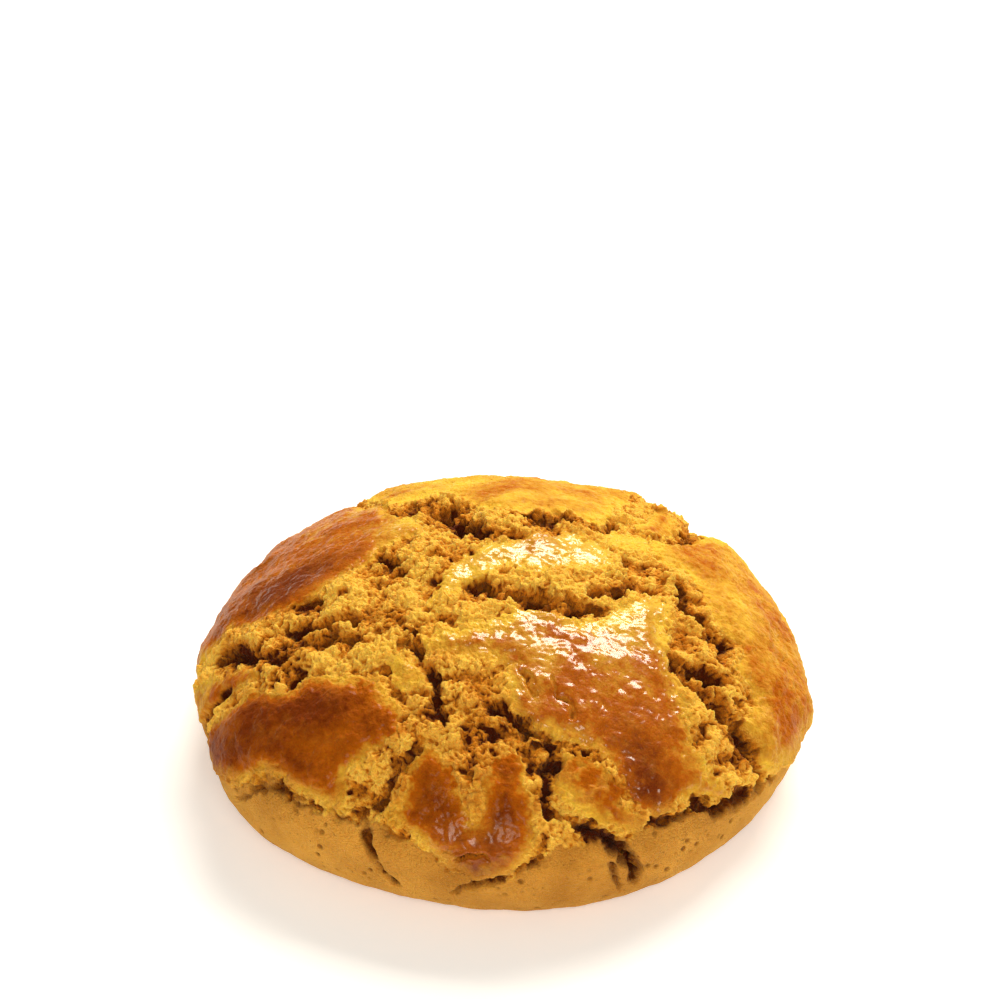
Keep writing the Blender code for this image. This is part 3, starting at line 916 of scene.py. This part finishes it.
@dataclass
class Patch:
    """One piece's faces, in groups of as many corners, and the flat place of each corner."""

    name: str
    faces: list[Array]
    flat: list[Array]

    @classmethod
    def sheet(cls, name: str, quads: Array, flat: Array) -> "Patch":
        """A patch of quads laid out in rows."""
        return cls(name, [quads.reshape(-1, 4)], [flat.reshape(-1, 4, 2)])

    @classmethod
    def seen_from_below(cls, name: str, faces: list[Array], points: Array) -> "Patch":
        """A patch whose flat map is its own plan, fitted into the unit square.

        Args:
            name: The piece's name.
            faces: Its faces, in groups of as many corners.
            points: All the points.

        Returns:
            The patch.
        """
        used = points[np.concatenate([group.ravel() for group in faces])][:, :2]
        low, size = used.min(0), np.ptp(used, axis=0).max()
        return cls(name, faces, [(points[group][..., :2] - low) / size for group in faces])


def normals_of(points: Array, faces: Sequence[Array]) -> Array:
    """Outward direction at each point: the sum of its faces' cross products, so that a larger
    face counts for more, brought to unit length.

    Args:
        points: The points.
        faces: Arrays of quads or triangles over them.

    Returns:
        One unit vector for each point.
    """
    total = np.zeros_like(points)
    for group in faces:
        first, second, third, *fourth = (points[group[:, i]] for i in range(group.shape[1]))
        last = fourth[0] if fourth else first
        cross = np.cross(third - first, last - second)
        for corner in range(group.shape[1]):
            for axis in range(3):
                total[:, axis] += np.bincount(group[:, corner], cross[:, axis], len(points))
    return total / np.maximum(np.linalg.norm(total, axis=1, keepdims=True), TINY)


def placed(name: str, data: Any) -> bpy.types.Object:
    """Puts a new object into the scene.

    Args:
        name: The object's name.
        data: Its mesh, light or camera.

    Returns:
        The object.
    """
    thing = bpy.data.objects.new(name, data)
    bpy.context.scene.collection.objects.link(thing)
    return thing


def make_mesh(
    patch: Patch, points: Array, layers: dict[Layer, Array], normals: Array
) -> bpy.types.Object:
    """Puts a patch into a mesh object. Only the points that its faces use are kept.

    Args:
        patch: The piece's name, faces and flat map.
        points: All the points, in millimetres.
        layers: What each point carries, stored as attributes.
        normals: Each point's outward direction.

    Returns:
        The object, in the scene.
    """
    faces = patch.faces
    used = np.unique(np.concatenate([group.ravel() for group in faces]))
    number = np.zeros(len(points), np.int64)
    number[used] = np.arange(len(used))
    corners = np.concatenate([number[group].ravel() for group in faces])
    sizes = np.concatenate([np.full(len(group), group.shape[1]) for group in faces])
    mesh = bpy.data.meshes.new(patch.name)
    mesh.vertices.add(len(used))
    mesh.vertices.foreach_set("co", (points[used] * MM).astype(np.float32).ravel())
    mesh.loops.add(len(corners))
    mesh.loops.foreach_set("vertex_index", corners.astype(np.int32))
    mesh.polygons.add(len(sizes))
    starts = np.append(0, np.cumsum(sizes)[:-1])
    mesh.polygons.foreach_set("loop_start", starts.astype(np.int32))
    mesh.update(calc_edges=True)
    mesh.validate()
    mesh.shade_smooth()
    flat = np.concatenate([group.ravel() for group in patch.flat])
    mesh.uv_layers.new(name=UV_MAP).data.foreach_set("uv", flat.astype(np.float32))
    for layer, values in layers.items():
        attribute = mesh.attributes.new(layer.value, "FLOAT", "POINT")
        attribute.data.foreach_set("value", values[used].astype(np.float32))
    mesh.normals_split_custom_set_from_vertices(normals[used])
    return placed(patch.name, mesh)


# ---------------------------------------------------------------- finishes


class Wiring:
    """Adds nodes to a material and joins them."""

    def __init__(self, name: str, **constants: Any) -> None:
        """Starts a material.

        Args:
            name: Its name.
            constants: Values of the shader's inputs, by their names with _ for each space.
        """
        self.material = bpy.data.materials.new(name)
        self.material.use_nodes = True
        self.tree = self.material.node_tree
        self.shader = self.tree.nodes["Principled BSDF"]
        for key, value in constants.items():
            self.shade(key.replace("_", " "), value)

    def shade(self, name: str, value: Any) -> None:
        """Joins a socket to one of the shader's inputs, or sets that to a plain value."""
        self.feed(self.shader.inputs[name], value)

    def feed(self, socket: Any, value: Any) -> None:
        """Joins a socket to an input, or sets the input to a plain value. A plain colour is given
        full cover.

        Args:
            socket: The input.
            value: Another node's output, a number, a vector, or red, green and blue.
        """
        if isinstance(value, bpy.types.NodeSocket):
            self.tree.links.new(value, socket)
        else:
            socket.default_value = (*value, 1.0) if socket.type == "RGBA" else value

    def add(self, kind: str, inputs: dict[Any, Any] | None = None, **settings: Any) -> Any:
        """Adds a node.

        Args:
            kind: Blender's name of the node type.
            inputs: Values, or sockets to join, by the input's name or number.
            settings: The node's own properties.

        Returns:
            The node.
        """
        node = self.tree.nodes.new(kind)
        for key, value in settings.items():
            setattr(node, key, value)
        for key, value in (inputs or {}).items():
            self.feed(node.inputs[key], value)
        return node

    def layer(self, layer: Layer) -> Any:
        """The value that the surface carries."""
        return self.add("ShaderNodeAttribute", attribute_name=layer.value).outputs["Fac"]

    def math(self, operation: str, *values: Any, clamp: bool = False) -> Any:
        """One arithmetic step on sockets or numbers."""
        inputs = dict(enumerate(values))
        return self.add("ShaderNodeMath", inputs, operation=operation, use_clamp=clamp).outputs[0]

    def scaled(self, value: Any, factor: Any, offset: Any, clamp: bool = False) -> Any:
        """A value times a factor plus an offset."""
        return self.math("MULTIPLY_ADD", value, factor, offset, clamp=clamp)

    def blend(self, share: Any, first: Any, second: Any) -> Any:
        """Mixes two colours by a share."""
        inputs = {0: share, 6: first, 7: second}
        return self.add("ShaderNodeMix", inputs, data_type="RGBA").outputs[2]

    def ramp(self, value: Any, stops: Sequence[tuple[float, Sequence[float]]]) -> Any:
        """A colour ramp.

        Args:
            value: What it follows, from 0 to 1.
            stops: Places on the ramp, and the colour at each.

        Returns:
            The colour's socket.
        """
        node = self.add("ShaderNodeValToRGB", {"Fac": value})
        elements = node.color_ramp.elements
        while len(elements) < len(stops):
            elements.new(0.5)
        for element, (place, colour) in zip(elements, stops):
            element.position = place
            element.color = (*colour, 1.0)
        return node.outputs["Color"]

    def noise(self, scale: float, detail: float, rough: float) -> Any:
        """Object-space noise.

        Args:
            scale: Bumps to a metre.
            detail: How many times finer noise is added.
            rough: How strong each finer one is, as a share of the one before.

        Returns:
            The noise's socket, from 0 to 1.
        """
        place = self.add("ShaderNodeTexCoord").outputs["Object"]
        inputs = {"Vector": place, "Scale": scale, "Detail": detail, "Roughness": rough}
        return self.add("ShaderNodeTexNoise", inputs).outputs["Fac"]


@dataclass(frozen=True)
class BakedFinish:
    """Cornbread as it leaves the oven: golden crumb, glaze over browned crust, a pale skirt.

    Colours are linear red, green and blue. The noises are bumps to a metre, detail, and how
    strong the detail is.
    """

    # Crumb ramp: the first colour is open crumb; the middle one is partly painted shade, the
    # darkest is painted shade in creases, pits and fissures.
    crumb_light: tuple[float, ...] = (1.0, 0.572, 0.078)
    crumb_mid: tuple[float, ...] = (0.65, 0.224, 0.012)
    crumb_shade: tuple[float, ...] = (0.090, 0.012, 0.002)
    glaze_light: tuple[float, ...] = (0.84, 0.51, 0.047)
    glaze_mid: tuple[float, ...] = (0.47, 0.112, 0.0005)
    glaze_dark: tuple[float, ...] = (0.19, 0.029, 0.0002)
    skirt_pale: tuple[float, ...] = (0.76, 0.355, 0.052)
    skirt_brown: tuple[float, ...] = (0.50, 0.205, 0.024)
    # painted shade in the skirt's pores, cracks and seam, and the colour of its pinprick specks
    shade_and_speck: tuple[float, ...] = (0.14, 0.035, 0.002)
    blotches: tuple[float, ...] = (160.0, 3.0, 0.5)
    mottles: tuple[float, ...] = (700.0, 2.0, 0.6)
    pinpricks: tuple[float, ...] = (1500.0, 1.0, 0.4)
    specks: tuple[float, ...] = (2600.0, 1.0, 0.6)
    dry_roughness: float = 0.9
    glazed_roughness: float = 0.42
    bare_shine: float = 0.04
    coat_roughness: float = 0.19
    coat_index: float = 1.58
    coat_build: float = 1.6  # above 1, thin glaze shines less than its share
    bloom: float = 0.07  # the pale veil that dry crust shows seen edge on
    bloom_roughness: float = 0.45
    bloom_tint: tuple[float, ...] = (1.0, 0.82, 0.6)
    glow: float = 0.5  # share of the light that goes a little way under the surface
    glow_reach: tuple[float, ...] = (0.5, 0.32, 0.18)  # how far each colour goes, in millimetres
    grit_height: float = 0.0005  # in metres
    grit_strength: float = 0.9

    def material(self) -> bpy.types.Material:
        """Wires the finish. Crumb darkens with painted shade in the hollow that it lies in, glaze
        with its bake, and the skirt with its bake and with painted shade in its pores, cracks and
        seam; blotches and mottles make all three uneven.
        The glaze is a clear coat as thick as it is glossy.

        Returns:
            The material.
        """
        w = Wiring(
            "baked_crust",
            Subsurface_Weight=self.glow,
            Subsurface_Radius=self.glow_reach,
            Subsurface_Scale=MM,
            Specular_IOR_Level=self.bare_shine,
            Coat_Roughness=self.coat_roughness,
            Coat_IOR=self.coat_index,
            Sheen_Weight=self.bloom,
            Sheen_Roughness=self.bloom_roughness,
            Sheen_Tint=self.bloom_tint,
        )
        noises = self.blotches, self.mottles, self.pinpricks, self.specks
        blotch, mottle, pinprick, speck = (w.noise(*noise) for noise in noises)
        carried = (Layer.GLAZE, Layer.BAKE_AND_LIGHT, Layer.GLOSS, Layer.SHADE_AND_BROWNING, Layer.SKIRT, Layer.TONE)
        glaze, bake, gloss, hollow, skirt, own_tone = (w.layer(layer) for layer in carried)

        # Crumb: painted shade from the hollow, shifted by blotches, mottles, bake and each grain's
        # own tone
        tone = w.scaled(blotch, 0.75, w.scaled(mottle, 0.25, -0.78))
        tone = w.scaled(own_tone, 0.22, w.scaled(bake, 0.5, tone))
        depth = w.math("ADD", hollow, tone, clamp=True)
        stops = (0.05, self.crumb_light), (0.5, self.crumb_mid), (1.0, self.crumb_shade)
        crumb = w.ramp(depth, stops)
        # Skirt: pale to brown with bake and blotches, then painted shade in its pores, cracks and
        # seam, and pinprick specks, over that
        tan = w.math("ADD", bake, w.scaled(blotch, 1.6, -0.6), clamp=True)
        pale = w.blend(tan, self.skirt_pale, self.skirt_brown)
        pricked = w.ramp(pinprick, ((0.70, (0, 0, 0)), (0.80, (0.5, 0.5, 0.5))))
        pale = w.blend(w.scaled(hollow, 1.2, pricked, clamp=True), pale, self.shade_and_speck)
        # Glaze: light to dark with bake, blotches and mottles
        baked = w.math("ADD", bake, w.scaled(blotch, 0.6, -0.3))
        baked = w.scaled(mottle, 0.5, w.math("SUBTRACT", baked, 0.25), clamp=True)
        stops = (0.0, self.glaze_light), (0.5, self.glaze_mid), (0.95, self.glaze_dark)
        glazed = w.ramp(baked, stops)
        w.shade("Base Color", w.blend(glaze, w.blend(skirt, crumb, pale), glazed))

        # Shine: the coat, and under it a base that gets smoother as the glaze gets thicker
        shine = w.math("MULTIPLY", glaze, gloss)
        w.shade("Coat Weight", w.math("POWER", shine, self.coat_build))
        smoother = self.glazed_roughness - self.dry_roughness
        rough = w.math("SUBTRACT", w.scaled(shine, smoother, self.dry_roughness), 0.1)
        w.shade("Roughness", w.scaled(mottle, 0.2, rough, clamp=True))

        # Grit: too fine for the mesh, a third as strong on glaze as on crumb
        grit = w.math("MULTIPLY", speck, w.scaled(glaze, -1.0, 1.5))
        inputs = {
            "Height": w.scaled(mottle, 0.5, grit),
            "Strength": self.grit_strength,
            "Distance": self.grit_height,
        }
        w.shade("Normal", w.add("ShaderNodeBump", inputs).outputs["Normal"])
        return w.material


# ---------------------------------------------------------------- the object


@dataclass
class Bun:
    """The whole baked bun: a crown in two halves, four flanks, the skirt and the underside."""

    form: BunForm = field(default_factory=BunForm)
    mesher: Mesher = field(default_factory=Mesher)
    finish: BakedFinish = field(default_factory=BakedFinish)

    def build(self) -> list[bpy.types.Object]:
        """Makes every piece and puts it on the frame.

        Returns:
            The pieces.
        """
        mesher, around = self.mesher, self.mesher.around
        places = np.vstack([mesher.cap(), mesher.rings(self.form.reach)])
        points, layers = self.form.body(places)

        side = mesher.cap_cells + 1
        cap = np.arange(side**2).reshape(side, side)
        quads = np.stack([cap[:-1, :-1], cap[1:, :-1], cap[1:, 1:], cap[:-1, 1:]], 2)
        below = np.arange(side**2, len(points)).reshape(-1, around)
        rings = np.vstack([mesher.cap_edge(cap), below])
        bands = stitched(rings[:-1], rings[1:])

        outward = normals_of(points, [quads.reshape(-1, 4), bands.reshape(-1, 4)])
        points, layers = self.form.texture(points, outward, layers)
        points[:, :2] += self.centring(points)
        base, base_faces = self.underside(points[rings[-1]], rings[-1], len(points))
        points = np.vstack([points, base])
        layers = {
            layer: np.append(value, np.full(len(base), UNDERSIDE.get(layer, 0.0)))
            for layer, value in layers.items()
        }
        patches = self.patches(quads, bands)
        patches.append(Patch.seen_from_below("underside", base_faces, points))
        normals = normals_of(points, [group for patch in patches for group in patch.faces])
        material = self.finish.material()
        pieces = []
        for patch in patches:
            piece = make_mesh(patch, points, layers, normals)
            piece.data.materials.append(material)
            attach(piece, BODY)
            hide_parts(NODE)
            pieces.append(piece)
        return pieces

    def patches(self, quads: Array, bands: Array) -> list[Patch]:
        """Cuts the surface into pieces: the crown's sheet in half, and the rings into quarters,
        from azimuth -45 degrees and turning left.

        Args:
            quads: The crown's quads, in rows from left to right.
            bands: The quads below it, ring after ring.

        Returns:
            The patches.
        """
        middle = self.mesher.cap_cells // 2
        rows = self.mesher.flank_rings
        quarter = self.mesher.around // 4
        halves = {"crown_front": quads[:, :middle], "crown_back": quads[:, middle:]}
        half_map = sheet_map(2 * middle, middle)
        patches = [Patch.sheet(name, part, half_map) for name, part in halves.items()]
        quarter_map = sheet_map(rows, quarter)
        for turn, name in enumerate(("right", "back", "left", "front")):
            part = bands[:rows, turn * quarter : (turn + 1) * quarter]
            patches.append(Patch.sheet(f"{name}_flank", part, quarter_map))
        skirt = bands[rows:]
        skirt_map = sheet_map(len(skirt), 4 * quarter, bands=4)
        return [*patches, Patch.sheet("skirt", skirt, skirt_map)]

    @staticmethod
    def centring(points: Array) -> Array:
        """The step that brings the middle of the bun's box over the middle of the CAD box.

        Args:
            points: The bun's points.

        Returns:
            The step to the right and to the back.
        """
        low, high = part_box(NODE)
        middle = (np.array(low) + np.array(high))[:2] / 2 / MM
        return middle - (points[:, :2].min(0) + points[:, :2].max(0)) / 2

    def underside(self, rim: Array, rim_numbers: Array, start: int) -> tuple[Array, list[Array]]:
        """The flat underside: the rim drawn in towards its middle, level with the table, its
        points halved from ring to ring until they are few, with a fan at the middle.

        Args:
            rim: The rim's points.
            rim_numbers: Their numbers.
            start: Number of the first new point.

        Returns:
            The new points, and their faces.
        """
        middle = rim.mean(0) * (1, 1, 0)
        outer, ring = rim_numbers, rim * (1, 1, 0)
        points, faces = [], []
        for turn, share in enumerate(self.mesher.base_shares):
            halve = turn > 0 and len(ring) > self.mesher.few_points
            ring = ring[::2] if halve else ring
            inner = start + np.arange(len(ring))
            start += len(ring)
            faces.append(halved(outer, inner) if halve else stitched(outer, inner))
            points.append(middle + (ring - middle) * share)
            outer = inner
        faces.append(np.stack([outer, np.full(len(outer), start), np.roll(outer, -1)], 1))
        return np.vstack([*points, middle]), faces


# ---------------------------------------------------------------- studio


@dataclass(frozen=True)
class Lamp:
    """A soft lamp that faces the bun: the way to it, its width and height in metres, its power in
    watts, and how far away it stands."""

    name: str
    direction: tuple[float, float, float]
    size: tuple[float, float]
    power: float
    distance: float = 0.9


@dataclass
class Studio:
    """A plain pale floor, a soft lamp behind to the right and a weaker one in front, fill from all
    round, and the camera."""

    target: tuple[float, float, float] = (0.0, 0.0, 0.020)
    distance: float = 0.5
    elevation: float = 36.0
    tilt: float = 2.655  # the camera looks this far above the bun's middle, in degrees
    turn: float = 0.045  # and this far to the left, in degrees
    sensor: float = 36.0  # its width in millimetres
    focal: float = 2.9691  # focal length, in picture widths
    clipping: tuple[float, float] = (0.01, 50.0)  # the camera sees from here to there
    floor_side: float = 6.0
    floor_white: tuple[float, float, float] = (0.92, 0.92, 0.92)
    floor_light: float = 0.3  # the floor is a light table
    warmth: tuple[float, float, float] = (1.0, 0.94, 0.82)
    lamps: tuple[Lamp, ...] = (
        Lamp("key", (0.22, 0.62, 0.72), (0.66, 0.36), 10.3),
        Lamp("front", (0.05, -0.75, 0.55), (0.4, 0.4), 3.6),
    )
    fill: float = 0.3

    def build(self) -> None:
        """Sets up everything that isn't part of the object."""
        self.floor()
        for lamp in self.lamps:
            self.light(lamp)
        self.world()
        self.camera()
        scene = bpy.context.scene
        scene.view_settings.view_transform = "Standard"
        scene.view_settings.look = "None"

    def floor(self) -> None:
        """A flat square under the bun."""
        half = self.floor_side / 2
        corners = [(-half, -half, 0), (half, -half, 0), (half, half, 0), (-half, half, 0)]
        mesh = bpy.data.meshes.new("floor")
        mesh.from_pydata(corners, [], [(0, 1, 2, 3)])
        floor = placed("floor", mesh)
        paper = Wiring(
            "floor_paper",
            Base_Color=self.floor_white,
            Roughness=0.9,
            Specular_IOR_Level=0.1,
            Emission_Color=(1.0, 1.0, 1.0),
            Emission_Strength=self.floor_light,
        )
        floor.data.materials.append(paper.material)

    def light(self, lamp: Lamp) -> None:
        """Puts up a lamp.

        Args:
            lamp: Which.
        """
        light = bpy.data.lights.new(lamp.name, "AREA")
        light.shape = "RECTANGLE"
        light.size, light.size_y = lamp.size
        light.energy = lamp.power
        light.color = self.warmth
        thing = placed(lamp.name, light)
        towards = Vector(lamp.direction).normalized()
        thing.location = Vector(self.target) + towards * lamp.distance
        thing.rotation_euler = towards.to_track_quat("Z", "Y").to_euler()

    def world(self) -> None:
        """Even warm light from all round, which glossy surfaces don't mirror."""
        world = bpy.data.worlds.new("studio")
        world.use_nodes = True
        background = world.node_tree.nodes["Background"]
        background.inputs["Color"].default_value = (*self.warmth, 1.0)
        background.inputs["Strength"].default_value = self.fill
        world.cycles_visibility.glossy = False
        bpy.context.scene.world = world

    def camera(self) -> None:
        """The camera, in front and above, level from side to side."""
        data = bpy.data.cameras.new("camera")
        data.sensor_width = self.sensor
        data.lens = self.sensor * self.focal
        data.clip_start, data.clip_end = self.clipping
        camera = placed("camera", data)
        rise = math.radians(self.elevation)
        back = Vector((0.0, -math.cos(rise), math.sin(rise)))
        camera.location = Vector(self.target) + back * self.distance
        pitch = math.pi / 2 - rise + math.radians(self.tilt)
        camera.rotation_euler = (pitch, 0.0, math.radians(self.turn))
        bpy.context.scene.camera = camera


def main() -> None:
    """Builds the bun and the studio, and reports each piece."""
    logging.basicConfig(level=logging.INFO, format="%(name)s: %(message)s")
    mesher = Mesher()
    for piece in Bun(mesher=mesher).build():
        LOG.info("%s: %d faces", piece.name, len(piece.data.polygons))
    Studio().build()


if __name__ == "__main__":
    main()
